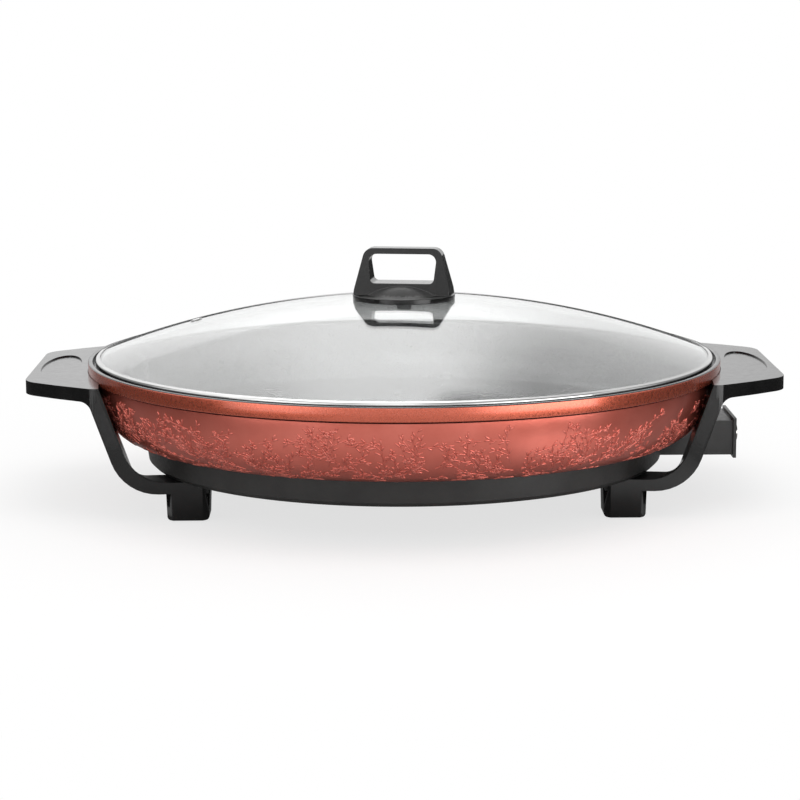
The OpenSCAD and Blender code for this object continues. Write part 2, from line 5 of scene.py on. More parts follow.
import bmesh
import bpy
from mathutils import Matrix, Vector


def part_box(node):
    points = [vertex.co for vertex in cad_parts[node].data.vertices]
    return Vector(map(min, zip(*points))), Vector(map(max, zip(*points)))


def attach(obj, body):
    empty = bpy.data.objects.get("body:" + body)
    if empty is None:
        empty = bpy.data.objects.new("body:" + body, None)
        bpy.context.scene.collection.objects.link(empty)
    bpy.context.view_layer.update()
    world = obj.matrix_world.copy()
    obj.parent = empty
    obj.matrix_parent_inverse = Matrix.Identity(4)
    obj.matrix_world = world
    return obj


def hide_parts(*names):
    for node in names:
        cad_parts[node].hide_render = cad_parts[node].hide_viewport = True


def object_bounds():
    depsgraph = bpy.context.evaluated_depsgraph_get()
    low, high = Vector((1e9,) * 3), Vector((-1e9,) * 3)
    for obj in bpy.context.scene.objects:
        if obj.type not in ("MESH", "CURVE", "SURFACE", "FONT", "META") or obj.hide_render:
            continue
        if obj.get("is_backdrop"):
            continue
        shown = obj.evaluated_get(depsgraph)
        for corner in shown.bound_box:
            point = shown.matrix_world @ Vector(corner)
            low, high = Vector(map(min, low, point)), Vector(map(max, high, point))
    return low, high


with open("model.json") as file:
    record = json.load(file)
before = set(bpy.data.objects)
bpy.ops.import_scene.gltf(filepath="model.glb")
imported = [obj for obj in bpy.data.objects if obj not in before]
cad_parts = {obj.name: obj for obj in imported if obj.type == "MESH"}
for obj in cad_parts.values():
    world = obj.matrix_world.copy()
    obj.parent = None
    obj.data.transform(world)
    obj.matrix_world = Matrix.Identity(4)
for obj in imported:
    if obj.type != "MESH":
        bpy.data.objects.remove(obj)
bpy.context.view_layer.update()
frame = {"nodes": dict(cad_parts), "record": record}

# The pan: a shallow aluminium casting, sprayed red outside and lined with a dark non-stick coat.
# A turned rim band stands out over a curved wall, with a fine groove below it, and a step inside
# the rim carries the lid. Bosses under the floor take the screws and the end of the probe's tube.
nodes = frame["nodes"]
mounts = {mount["name"]: mount for mount in frame["record"]["mounts"]}
mm = 0.001
pan_r = 200
rim_t = 3
rim_in_round = 0.6
rim_out_round = 1
seat_w = 6.5
seat_drop = 4
seat_round = 0.5
band_h = 8.6
band_out = 3.5
band_round = 0.7
groove_h = 1.2
groove_in = 1.1
groove_lip = 0.2
groove_edge = 0.15
curve_w = 29.5
curve_h = 39.9
floor_t = 4.5
rim_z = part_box("pan")[1].z / mm
rim_in_r = pan_r - rim_t
seat_r = rim_in_r - seat_w
seat_z = rim_z - seat_drop
wall_r = pan_r - band_out
flat_r = wall_r - curve_w
step_z = rim_z - band_h
under_z = step_z - curve_h
floor_z = under_z + floor_t
fine_steps = 256


def new_finish(name, sockets):
    """A material with the shader's own sockets set, its node tree and its shader."""
    material = bpy.data.materials.new(name)
    material.use_nodes = True
    shader = material.node_tree.nodes["Principled BSDF"]
    for socket, value in sockets.items():
        shader.inputs[socket].default_value = value
    return material, material.node_tree, shader


def grain(tree, scale, detail=3.0, stretch=(1, 1, 1), uv=False):
    """Noise on Object coordinates, or on the piece's UV map, squeezed where stretch differs."""
    coords = tree.nodes.new("ShaderNodeTexCoord")
    place = tree.nodes.new("ShaderNodeMapping")
    noise = tree.nodes.new("ShaderNodeTexNoise")
    place.inputs["Scale"].default_value = stretch
    noise.inputs["Scale"].default_value = scale
    noise.inputs["Detail"].default_value = detail
    tree.links.new(coords.outputs["UV" if uv else "Object"], place.inputs["Vector"])
    tree.links.new(place.outputs["Vector"], noise.inputs["Vector"])
    return noise.outputs["Fac"]


def tint(tree, shader, fac, low, high, start=0.35, end=0.65):
    """Base colour that runs from low to high with fac."""
    ramp = tree.nodes.new("ShaderNodeValToRGB")
    ramp.color_ramp.elements[0].position = start
    ramp.color_ramp.elements[0].color = (*low, 1)
    ramp.color_ramp.elements[1].position = end
    ramp.color_ramp.elements[1].color = (*high, 1)
    tree.links.new(fac, ramp.inputs["Fac"])
    tree.links.new(ramp.outputs["Color"], shader.inputs["Base Color"])


def vary(tree, shader, fac, socket, low, high):
    """A shader socket that runs from low to high over the middle of fac's range."""
    span = tree.nodes.new("ShaderNodeMapRange")
    span.inputs["From Min"].default_value = 0.3
    span.inputs["From Max"].default_value = 0.7
    span.inputs["To Min"].default_value = low
    span.inputs["To Max"].default_value = high
    tree.links.new(fac, span.inputs["Value"])
    tree.links.new(span.outputs["Result"], shader.inputs[socket])


def dimple(tree, shader, fac, strength, depth=0.0002):
    """Fine unevenness of the surface from fac, depth in metres."""
    bump = tree.nodes.new("ShaderNodeBump")
    bump.inputs["Strength"].default_value = strength
    bump.inputs["Distance"].default_value = depth
    tree.links.new(fac, bump.inputs["Height"])
    tree.links.new(bump.outputs["Normal"], shader.inputs["Normal"])


def arc(cx, cz, a, b, start, end, steps):
    """Points of an elliptical arc in a profile, angles in degrees."""
    angles = [math.radians(start + (end - start) * i / steps) for i in range(steps + 1)]
    return [(cx + a * math.cos(t), cz + b * math.sin(t)) for t in angles]


def rounding(cx, cz, r, start, end, steps=4):
    """Points of a rounded edge in a profile, angles in degrees."""
    return arc(cx, cz, r, r, start, end, steps)


def lathe(mesh, runs, steps, closed=False, at=(0, 0)):
    """Turns runs of (finish, profile points in mm) about an upright axis, with a UV map in metres."""
    profile, finish = [], []
    for index, points in runs:
        for point in points:
            if not profile or math.dist(point, profile[-1]) > 1e-4:
                profile.append(point)
                finish.append(index)
    if closed:
        profile.append(profile[0])
        finish.append(finish[0])
    uv = mesh.loops.layers.uv.verify()
    turns = [math.pi / 2 + math.tau * k / steps for k in range(steps)]
    rows, lengths = [], [0.0]
    for i, (r, z) in enumerate(profile):
        if i:
            lengths.append(lengths[-1] + math.dist(profile[i], profile[i - 1]) * mm)
        if closed and i == len(profile) - 1:
            rows.append(rows[0])
        elif r < 1e-6:
            rows.append([mesh.verts.new((at[0] * mm, at[1] * mm, z * mm))] * steps)
        else:
            spots = [(at[0] + r * math.cos(t), at[1] + r * math.sin(t)) for t in turns]
            rows.append([mesh.verts.new((x * mm, y * mm, z * mm)) for x, y in spots])
    around = math.tau * max(r for r, z in profile) * mm
    for i in range(len(rows) - 1):
        for k in range(steps):
            n = (k + 1) % steps
            corners = [(rows[i][k], k, i), (rows[i][n], k + 1, i),
                       (rows[i + 1][n], k + 1, i + 1), (rows[i + 1][k], k, i + 1)]
            unique = []
            for corner in corners:
                if corner[0] not in [u[0] for u in unique]:
                    unique.append(corner)
            face = mesh.faces.new([u[0] for u in unique])
            face.material_index = finish[i + 1]
            face.smooth = True
            for loop, (_, column, row) in zip(face.loops, unique):
                loop[uv].uv = (around * column / steps, lengths[row])
    bmesh.ops.recalc_face_normals(mesh, faces=mesh.faces)


def placed(name, mesh, finishes, crease=35):
    """Puts a bmesh in the scene as an object at the origin."""
    data = bpy.data.meshes.new(name)
    mesh.to_mesh(data)
    mesh.free()
    for finish in finishes:
        data.materials.append(finish)
    data.set_sharp_from_angle(angle=math.radians(crease))
    piece = bpy.data.objects.new(name, data)
    bpy.context.scene.collection.objects.link(piece)
    return piece


wall_coat, tree, shader = new_finish(
    "red wall coat", {"Metallic": 0.88, "Coat Weight": 0.3, "Coat Roughness": 0.12})
tint(tree, shader, grain(tree, 40, 6), (0.6, 0.14, 0.1), (0.7, 0.18, 0.135))
vary(tree, shader, grain(tree, 900, 2), "Roughness", 0.28, 0.4)
dimple(tree, shader, grain(tree, 2200, 2), 0.1)

lining, tree, shader = new_finish("dark non-stick lining", {"Specular IOR Level": 0.6})
tint(tree, shader, grain(tree, 1500, 2), (0.012, 0.012, 0.013), (0.05, 0.05, 0.052), 0.5, 0.72)
vary(tree, shader, grain(tree, 60, 4), "Roughness", 0.2, 0.28)
dimple(tree, shader, grain(tree, 800, 3), 0.025)

rim_coat, tree, shader = new_finish(
    "red rim coat", {"Metallic": 0.85, "Coat Weight": 0.6, "Coat Roughness": 0.1})
tint(tree, shader, grain(tree, 1100, 3), (0.53, 0.106, 0.058), (0.58, 0.126, 0.073), 0.36, 0.64)
vary(tree, shader, grain(tree, 500, 3), "Roughness", 0.24, 0.32)
dimple(tree, shader, grain(tree, 1300, 2), 0.04)

bare_cast, tree, shader = new_finish("bare cast aluminium", {"Metallic": 1.0})
tint(tree, shader, grain(tree, 120, 5), (0.42, 0.42, 0.42), (0.6, 0.6, 0.6))
vary(tree, shader, grain(tree, 300, 4), "Roughness", 0.4, 0.6)
dimple(tree, shader, grain(tree, 1200, 3), 0.25, 0.0003)

# The groove's faces take a dark red-brown as painted shade, for the shadow in the groove below the rim
# band.
painted_groove_shade, tree, shader = new_finish("painted shade in the groove", {"Specular IOR Level": 0.2})
tint(tree, shader, grain(tree, 300, 3), (0.05, 0.008, 0.006), (0.09, 0.015, 0.01))
vary(tree, shader, grain(tree, 600, 2), "Roughness", 0.6, 0.8)

on_wall_coat, on_lining, on_rim, on_cast, on_painted_groove_shade = range(5)
rim_out_r = pan_r - rim_out_round
rim_out_z = rim_z - rim_out_round
groove_r = wall_r - groove_in
groove_z = step_z - groove_h
groove_end = -math.degrees(math.asin((groove_h + groove_edge) / curve_h))
mesh = bmesh.new()
lathe(mesh, [
    (on_lining, [(0, floor_z)]),
    (on_lining, arc(flat_r, step_z, seat_r - flat_r, step_z - floor_z, -90, 0, 32)),
    (on_lining, rounding(seat_r + seat_round, seat_z - seat_round, seat_round, 180, 90)),
    (on_lining, [(rim_in_r, seat_z)]),
    (on_lining, rounding(rim_in_r + rim_in_round, rim_z - rim_in_round, rim_in_round, 180, 90)),
    (on_lining, rounding(rim_out_r, rim_out_z, rim_out_round, 90, 30)),
    (on_rim, rounding(rim_out_r, rim_out_z, rim_out_round, 30, 0, 2)),
    (on_rim, rounding(pan_r - band_round, step_z + band_round, band_round, 0, -90)),
    # The groove's faces carry the painted shade.
    (on_painted_groove_shade, [(groove_r, step_z), (groove_r, groove_z), (wall_r - groove_lip, groove_z)]),
    (on_wall_coat, arc(flat_r, step_z, curve_w, curve_h, groove_end, -90, 48)),
    (on_cast, [(flat_r - 2, under_z), (0, under_z)]),
], fine_steps)
pan = placed("pan_body", mesh, [wall_coat, lining, rim_coat, bare_cast, painted_groove_shade])
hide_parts("pan")
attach(pan, "cooker")

foot_x, foot_y = [value / mm for value in mounts["table_rest"]["pos_m"][:2]]
axis_z = mounts["probe_bore"]["pos_m"][2] / mm
shell_t = 1.5
shell_floor_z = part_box("base_shell")[0].z / mm + shell_t
shield_top_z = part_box("heat_shield")[1].z / mm
tube_end_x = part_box("probe_tube")[0].x / mm
foot_boss_r = 5
shield_boss_r = 7
boss_hole_r = 2.4
boss_edge = 0.4
boss_foot = 0.6
boss_steps = 32
lug_r = 6.9
lug_ends = (tube_end_x - 2, tube_end_x + 12)


def boss(mesh, r, low, at):
    """A round boss under the pan's floor with a screw hole in it."""
    edge = [(boss_hole_r, low), (r - boss_edge, low), (r, low + boss_edge)]
    root = [(r, under_z - boss_foot), (r + boss_foot, under_z), (boss_hole_r, under_z)]
    lathe(mesh, [(0, edge + root)], boss_steps, closed=True, at=at)


mesh = bmesh.new()
for sx in (-1, 1):
    for sy in (-1, 1):
        boss(mesh, foot_boss_r, shell_floor_z, (sx * foot_x, sy * foot_y))
boss(mesh, shield_boss_r, shield_top_z, (0, 0))
lug = [(-lug_r, under_z)] + rounding(0, axis_z, lug_r, 180, 360, 16) + [(lug_r, under_z)]
ends = []
for x in lug_ends:
    ends.append([mesh.verts.new((x * mm, y * mm, z * mm)) for y, z in lug])
mesh.faces.new(ends[0])
mesh.faces.new(ends[1])
for i in range(len(lug)):
    n = (i + 1) % len(lug)
    mesh.faces.new((ends[0][i], ends[0][n], ends[1][n], ends[1][i]))
bmesh.ops.recalc_face_normals(mesh, faces=mesh.faces)
bosses = placed("pan_bosses", mesh, [bare_cast])
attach(bosses, "cooker")

# The wall's relief: low bushes cast with the wall and sprayed with it, stems that fan out from the
# foot of the wall with leaves to both sides and small blossoms. The layout is this script's own, from
# a fixed seed; one leaf is repeated by Geometry Nodes, and stems are swept along their lines.
wall_len = 54.5
wall_share = 0.93
leaf_top = 4
stem_top = 4.5
relief_foot = 46
stem_pace = 3.0
stem_r = 0.36
leaf_ahead = 0.55
leaf_rise = 0.44
leaf_rings = 3
leaf_segments = 6
petals = 5
first_foot = 20
last_foot = math.tau * wall_r - first_foot
twig_rows = ((13, 0.35), (41, 0.7))
layout = random.Random(7)
stem_lines, leaves = [], []


def on_wall(around, down):
    """Point of the wall and its axes (along, down, out), from mm round the wall and below the step."""
    turn = around / wall_r
    t = math.radians(90 * min(max(down / wall_len, 0), wall_share))
    r = flat_r + curve_w * math.cos(t)
    fall = Vector((-curve_w * math.sin(t), -curve_h * math.cos(t))).normalized()
    along = Vector((-math.sin(turn), math.cos(turn), 0))
    slope = Vector((fall.x * math.cos(turn), fall.x * math.sin(turn), fall.y))
    place = Vector((r * math.cos(turn), r * math.sin(turn), step_z - curve_h * math.sin(t))) * mm
    return place, along, slope, slope.cross(along)


def leaf(s, d, heading, length, width):
    """Notes a leaf that starts at a point of the layout and points along a heading."""
    s += math.cos(heading) * length * leaf_ahead
    d += math.sin(heading) * length * leaf_ahead
    if leaf_top < d < relief_foot:
        leaves.append((s, d, heading, length, width))


def twig(s, d, heading, length, depth):
    """Notes a stem with leaves to both sides, side twigs and perhaps a blossom at its end."""
    bend = layout.uniform(-0.06, 0.06)
    line = [(s, d)]
    for i in range(max(2, round(length / stem_pace))):
        heading += bend + layout.uniform(-0.06, 0.06)
        s += math.cos(heading) * stem_pace
        d += math.sin(heading) * stem_pace
        if not stem_top < d < relief_foot:
            break
        line.append((s, d))
        side = 1 if i % 2 else -1
        lean = side * layout.uniform(0.5, 1.0)
        leaf(s, d, heading + lean, layout.uniform(3.0, 5.2), layout.uniform(1.1, 1.5))
        if depth and i % 3 == 1:
            twig(s, d, heading - side * layout.uniform(0.5, 0.9), layout.uniform(6, 11), depth - 1)
    if len(line) > 1:
        stem_lines.append(line)
    if layout.random() < 0.4:
        for k in range(petals):
            leaf(s, d, heading + k * math.tau / petals, 2.4, 1.3)
    else:
        leaf(s, d, heading, 4.2, 1.3)


def bush(s, d, spread, branches):
    """Notes a bush whose branches fan out over the wall from about one foot."""
    for k in range(branches):
        heading = -math.pi * (0.04 + 0.92 * (k + layout.uniform(0.15, 0.85)) / branches)
        length = spread * layout.uniform(0.7, 1.1)
        twig(s + layout.uniform(-8, 8), d + layout.uniform(-5, 4), heading, length, 1)


foot = layout.uniform(0, first_foot)
while foot < last_foot:
    bush(foot, layout.uniform(27, 42), layout.uniform(14, 27), layout.randint(4, 6))
    foot += layout.uniform(17, 33)
for row, share in twig_rows:
    foot = layout.uniform(0, first_foot)
    while foot < last_foot:
        if layout.random() < share:
            rise = layout.uniform(-0.2, 0.4)
            heading = -rise if layout.random() < 0.5 else math.pi + rise
            twig(foot, row + layout.uniform(-3, 3), heading, layout.uniform(9, 18), 0)
        foot += layout.uniform(14, 24)

relief_coat, tree, shader = new_finish(
    "red coat on the relief", {"Metallic": 0.88, "Coat Weight": 0.25, "Coat Roughness": 0.15})
tint(tree, shader, grain(tree, 200, 4), (0.55, 0.135, 0.1), (0.67, 0.19, 0.148))
vary(tree, shader, grain(tree, 900, 2), "Roughness", 0.34, 0.46)

points, links, is_leaf, turns, reaches = [], [], [], [], []
for line in stem_lines:
    for i, (s, d) in enumerate(line):
        if i:
            links.append((len(points) - 1, len(points)))
        points.append(on_wall(s, d)[0])
        is_leaf.append(False)
        turns.append((0, 0, 0))
        reaches.append((1, 1, 1))
for s, d, heading, length, width in leaves:
    place, along, slope, out = on_wall(s, d)
    x_axis = along * math.cos(heading) + slope * math.sin(heading)
    axes = Matrix((x_axis, out.cross(x_axis), out)).transposed()
    points.append(place)
    is_leaf.append(True)
    turns.append(tuple(axes.to_euler()))
    reaches.append((length / 2 * mm, width / 2 * mm, leaf_rise * mm))
plan = bpy.data.meshes.new("wall_relief")
plan.from_pydata(points, links, [])
for name, kind, key, values in (
    ("is_leaf", "BOOLEAN", "value", is_leaf),
    ("turn", "FLOAT_VECTOR", "vector", [v for turn in turns for v in turn]),
    ("reach", "FLOAT_VECTOR", "vector", [v for reach in reaches for v in reach]),
):
    plan.attributes.new(name, kind, "POINT").data.foreach_set(key, values)
relief = bpy.data.objects.new("wall_relief", plan)
bpy.context.scene.collection.objects.link(relief)

sprigs = bpy.data.node_groups.new("sprigs", "GeometryNodeTree")
sprigs.interface.new_socket("Geometry", in_out="INPUT", socket_type="NodeSocketGeometry")
sides_input = sprigs.interface.new_socket("Leaf sides", in_out="INPUT", socket_type="NodeSocketInt")
radius_input = sprigs.interface.new_socket("Stem radius", in_out="INPUT", socket_type="NodeSocketFloat")
coat_input = sprigs.interface.new_socket("Coat", in_out="INPUT", socket_type="NodeSocketMaterial")
sprigs.interface.new_socket("Geometry", in_out="OUTPUT", socket_type="NodeSocketGeometry")


def stored(name, kind):
    """Reads a stored attribute of the points."""
    node = sprigs.nodes.new("GeometryNodeInputNamedAttribute")
    node.data_type = kind
    node.inputs["Name"].default_value = name
    return node.outputs["Attribute"]


given = sprigs.nodes.new("NodeGroupInput")
split = sprigs.nodes.new("GeometryNodeSeparateGeometry")
seed = sprigs.nodes.new("GeometryNodeMeshUVSphere")
lying = sprigs.nodes.new("GeometryNodeTransform")
turning = sprigs.nodes.new("FunctionNodeEulerToRotation")
copies = sprigs.nodes.new("GeometryNodeInstanceOnPoints")
lines = sprigs.nodes.new("GeometryNodeMeshToCurve")
section = sprigs.nodes.new("GeometryNodeCurvePrimitiveCircle")
swept = sprigs.nodes.new("GeometryNodeCurveToMesh")
both = sprigs.nodes.new("GeometryNodeJoinGeometry")
real = sprigs.nodes.new("GeometryNodeRealizeInstances")
smooth = sprigs.nodes.new("GeometryNodeSetShadeSmooth")
coated = sprigs.nodes.new("GeometryNodeSetMaterial")
result = sprigs.nodes.new("NodeGroupOutput")
seed.inputs["Rings"].default_value = leaf_rings
lying.inputs["Rotation"].default_value = (0, math.pi / 2, 0)
section.inputs["Resolution"].default_value = 4
swept.inputs["Fill Caps"].default_value = True
for source, target in (
    (given.outputs["Geometry"], split.inputs["Geometry"]),
    (stored("is_leaf", "BOOLEAN"), split.inputs["Selection"]),
    (given.outputs["Leaf sides"], seed.inputs["Segments"]),
    (seed.outputs["Mesh"], lying.inputs["Geometry"]),
    (split.outputs["Selection"], copies.inputs["Points"]),
    (lying.outputs["Geometry"], copies.inputs["Instance"]),
    (stored("turn", "FLOAT_VECTOR"), turning.inputs["Euler"]),
    (turning.outputs["Rotation"], copies.inputs["Rotation"]),
    (stored("reach", "FLOAT_VECTOR"), copies.inputs["Scale"]),
    (split.outputs["Inverted"], lines.inputs["Mesh"]),
    (given.outputs["Stem radius"], section.inputs["Radius"]),
    (lines.outputs["Curve"], swept.inputs["Curve"]),
    (section.outputs["Curve"], swept.inputs["Profile Curve"]),
    (copies.outputs["Instances"], both.inputs["Geometry"]),
    (swept.outputs["Mesh"], both.inputs["Geometry"]),
    (both.outputs["Geometry"], smooth.inputs["Geometry"]),
    (smooth.outputs["Geometry"], real.inputs["Geometry"]),
    (real.outputs["Geometry"], coated.inputs["Geometry"]),
    (given.outputs["Coat"], coated.inputs["Material"]),
    (coated.outputs["Geometry"], result.inputs["Geometry"]),
):
    sprigs.links.new(source, target)
growth = relief.modifiers.new("sprigs", "NODES")
growth.node_group = sprigs
growth[sides_input.identifier] = leaf_segments
growth[radius_input.identifier] = stem_r * mm
growth[coat_input.identifier] = relief_coat
whole = bpy.data.meshes.new_from_object(relief.evaluated_get(bpy.context.evaluated_depsgraph_get()))
relief.modifiers.clear()
relief.data = whole
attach(relief, "cooker")

# The hidden steel pieces: element, straps, screws and washers, plated or dulled by heat.
# They are carried over from the frame; most of the screws run up into the casting.
steel, tree, shader = new_finish("plated steel", {"Metallic": 1.0})
tint(tree, shader, grain(tree, 90, 5), (0.42, 0.42, 0.43), (0.62, 0.62, 0.62))
vary(tree, shader, grain(tree, 500, 4, (1, 1, 0.2)), "Roughness", 0.24, 0.42)
dimple(tree, shader, grain(tree, 1500, 2), 0.1, 0.0001)

sheath, tree, shader = new_finish("heat-dulled sheath", {"Metallic": 0.9})
tint(tree, shader, grain(tree, 70, 5), (0.1, 0.095, 0.09), (0.26, 0.24, 0.22))
vary(tree, shader, grain(tree, 300, 3), "Roughness", 0.4, 0.6)


def finish_nodes(material, *names):
    """Gives carried-over frame nodes their finish."""
    for name in names:
        data = nodes[name].data
        data.materials.clear()
        data.materials.append(material)


finish_nodes(sheath, "heating_element")
finish_nodes(steel, "element_clamps", "clamp_screws", "shield_screw", "foot_screws")
finish_nodes(steel, "inlet_screws", "knob_washer", "knob_screw")

# The heat shield: a thin bright aluminium disc between the element and the shell.
# It lies on two raised ribs of the shell and is held by the middle screw.
bright_sheet, tree, shader = new_finish("bright rolled sheet", {"Metallic": 1.0})
tint(tree, shader, grain(tree, 40, 4, (1, 12, 1)), (0.62, 0.62, 0.62), (0.78, 0.78, 0.78))
vary(tree, shader, grain(tree, 200, 4, (1, 15, 1)), "Roughness", 0.2, 0.36)
finish_nodes(bright_sheet, "heat_shield")

# The base shell: a shallow pressing in a satin near-black coat that closes the heater's space.
# The foot screws clamp it between the stands' strips and the casting.
shell_coat, tree, shader = new_finish("satin shell coat", {"Specular IOR Level": 0.5})
tint(tree, shader, grain(tree, 60, 5), (0.016, 0.016, 0.0155), (0.024, 0.024, 0.0228))
vary(tree, shader, grain(tree, 500, 3), "Roughness", 0.36, 0.5)
dimple(tree, shader, grain(tree, 1600, 2), 0.15)
finish_nodes(shell_coat, "base_shell")

# The stands: one gloss black phenolic moulding on each side, with the handle, two legs and two feet.
# Each tucks under the rim band and is held by two screws up through its feet.
stand_round = 1.1
moulding, tree, shader = new_finish("gloss black moulding", {"Specular IOR Level": 0.42})
tint(tree, shader, grain(tree, 50, 4), (0.005, 0.005, 0.005), (0.008, 0.008, 0.0078))
vary(tree, shader, grain(tree, 260, 4), "Roughness", 0.13, 0.2)
dimple(tree, shader, grain(tree, 900, 2), 0.04)


def softened(name, node, width, segments, finish, crease=40):
    """A copy of a frame node with its sharp edges rounded over."""
    mesh = bmesh.new()
    mesh.from_mesh(nodes[node].data)
    bmesh.ops.remove_doubles(mesh, verts=mesh.verts, dist=2e-6)
    flat_enough = math.radians(0.6)
    bmesh.ops.dissolve_limit(
        mesh, angle_limit=flat_enough, verts=mesh.verts, edges=mesh.edges, use_dissolve_boundaries=False)
    for face in mesh.faces:
        face.smooth = True
    piece = placed(name, mesh, [finish], crease)
    bevel = piece.modifiers.new("rounding", "BEVEL")
    bevel.width = width * mm
    bevel.segments = segments
    bevel.limit_method = "ANGLE"
    bevel.angle_limit = math.radians(crease)
    bevel.use_clamp_overlap = True
    piece.modifiers.new("even normals", "WEIGHTED_NORMAL").keep_sharp = True
    whole = bpy.data.meshes.new_from_object(piece.evaluated_get(bpy.context.evaluated_depsgraph_get()))
    piece.modifiers.clear()
    piece.data = whole
    whole.name = name
    return piece


for side in ("left", "right"):
    stand = softened("stand_" + side, "handle_stand_" + side, stand_round, 3, moulding)
    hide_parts("handle_stand_" + side)
    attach(stand, "cooker")

# The foot pads: soft black rubber discs under the four feet, which keep the stands from sliding.
# They are pressed into recesses over the screw heads.
rubber, tree, shader = new_finish("matt black rubber", {"Specular IOR Level": 0.3})
tint(tree, shader, grain(tree, 300, 4), (0.018, 0.018, 0.018), (0.035, 0.035, 0.034))
vary(tree, shader, grain(tree, 500, 3), "Roughness", 0.7, 0.9)
finish_nodes(rubber, "foot_pads")

# The inlet: a satin black box on the shell whose lipped mouth takes the plug-in control.
# Inside, a pale insulator carries plated pins with ceramic beads, and the probe's guide tube.
inlet_round = 0.5
ceramic, tree, shader = new_finish("unglazed ceramic", {"Specular IOR Level": 0.3})
tint(tree, shader, grain(tree, 200, 5), (0.58, 0.54, 0.47), (0.7, 0.66, 0.58))
vary(tree, shader, grain(tree, 600, 3), "Roughness", 0.55, 0.75)

plate, tree, shader = new_finish("nickel plate", {"Metallic": 1.0})
tint(tree, shader, grain(tree, 200, 4), (0.55, 0.54, 0.52), (0.7, 0.69, 0.67))
vary(tree, shader, grain(tree, 400, 4, (0.2, 1, 1)), "Roughness", 0.16, 0.3)

inlet_black, tree, shader = new_finish("satin black inlet", {"Specular IOR Level": 0.5})
tint(tree, shader, grain(tree, 70, 4), (0.02, 0.02, 0.02), (0.029, 0.029, 0.0285))
vary(tree, shader, grain(tree, 400, 3), "Roughness", 0.28, 0.4)
dimple(tree, shader, grain(tree, 1400, 2), 0.06)

inlet = softened("inlet_box", "inlet_housing", inlet_round, 2, inlet_black)
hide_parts("inlet_housing")
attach(inlet, "cooker")
finish_nodes(ceramic, "terminal_block", "terminal_beads")
finish_nodes(plate, "terminal_pins", "probe_tube")

# The lid's glass: a clear toughened dome, part of a sphere, ground at its edge.
# It is turned here with the middle hole for the knob's screw, and the vent's eyelet is set into it.
ring_gap = 1.8
glass_gap = 0.8
glass_lift = 0.6
ring_r = rim_in_r - ring_gap
glass_r = ring_r - glass_gap
glass_low = seat_z + glass_lift
glass_t = 4
glass_hole = 4.4
dome_steps = 48
dome_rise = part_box("lid_glass")[1].z / mm - glass_t - glass_low
dome_in = (glass_r ** 2 + dome_rise ** 2) / (2 * dome_rise)
dome_out = dome_in + glass_t
dome_c = glass_low + dome_rise - dome_in


def dome_z(radius, r):
    """Height of the dome of that sphere radius at a distance from the middle."""
    return dome_c + math.sqrt(radius ** 2 - r ** 2)


def dome(radius):
    """Profile of the dome of that sphere radius, from the hole to the edge."""
    spans = [glass_hole + (glass_r - glass_hole) * i / dome_steps for i in range(dome_steps + 1)]
    return [(r, dome_z(radius, r)) for r in spans]


clear, tree, shader = new_finish(
    "toughened glass", {"Transmission Weight": 1.0, "IOR": 1.5, "Base Color": (0.97, 0.985, 0.98, 1)})
vary(tree, shader, grain(tree, 30, 3), "Roughness", 0.0, 0.012)

mesh = bmesh.new()
lathe(mesh, [(0, dome(dome_out)), (0, dome(dome_in)[::-1])], fine_steps, closed=True)
glass = placed("lid_dome", mesh, [clear])
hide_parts("lid_glass")
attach(glass, "lid")

# The lid's ring: a polished stainless band rolled round the edge of the glass, with rounded folds.
# The steam vent is a small eyelet of bright steel, set through the glass at the left.
ring_t = 0.5
ring_fold = 2.8
ring_in = ring_r - ring_fold
ring_foot_round = 0.5
ring_top_w = 1.3
ring_top_h = 1.2
ring_top_drop = 1.0
eyelet_round = 0.25
lip_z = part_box("lid_ring")[1].z / mm
edge_z = lip_z - dome_z(dome_out, ring_in) + dome_z(dome_out, glass_r)
polished, tree, shader = new_finish("polished stainless band", {"Metallic": 1.0})
tint(tree, shader, grain(tree, 60, 4, (1, 20, 1), uv=True), (0.44, 0.44, 0.44), (0.52, 0.52, 0.515))
vary(tree, shader, grain(tree, 300, 4, (1, 25, 1), uv=True), "Roughness", 0.05, 0.12)

# The band's inner faces, against the glass, are coloured black.
band_inner_black, tree, shader = new_finish("black inner faces of the band", {"Specular IOR Level": 0.3})
tint(tree, shader, grain(tree, 300, 3), (0.006, 0.006, 0.006), (0.014, 0.014, 0.014))
vary(tree, shader, grain(tree, 500, 3), "Roughness", 0.5, 0.7)

on_steel, on_band_inner_black = range(2)
ring_wall = ring_r - ring_t
ring_top_r = ring_r - ring_top_w
mesh = bmesh.new()
lathe(mesh, [
    (on_steel, [(ring_in, lip_z - 0.2), (ring_in + 0.25, lip_z - 0.05)]),
    (on_steel, arc(ring_top_r, edge_z - ring_top_drop, ring_top_w, ring_top_h, 75, 0, 8)),
    (on_steel, rounding(ring_r - ring_foot_round, seat_z + ring_foot_round, ring_foot_round, 0, -90)),
    (on_steel, [(ring_in, seat_z), (ring_in, seat_z + ring_t)]),
    # The inner faces of the fold take the black.
    (on_band_inner_black, [(ring_wall, seat_z + ring_t), (ring_wall, edge_z - 0.8)]),
    (on_band_inner_black, [(ring_top_r, edge_z - ring_t), (ring_in, lip_z - ring_t)]),
], fine_steps, closed=True)
band = placed("lid_band", mesh, [polished, band_inner_black])
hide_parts("lid_ring")
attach(band, "lid")

eyelet_steel, tree, shader = new_finish("polished eyelet", {"Metallic": 1.0})
tint(tree, shader, grain(tree, 300, 4), (0.62, 0.62, 0.62), (0.76, 0.76, 0.75))
vary(tree, shader, grain(tree, 600, 3), "Roughness", 0.08, 0.16)
eyelet = softened("vent_grommet", "vent_eyelet", eyelet_round, 2, eyelet_steel)
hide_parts("vent_eyelet")
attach(eyelet, "lid")

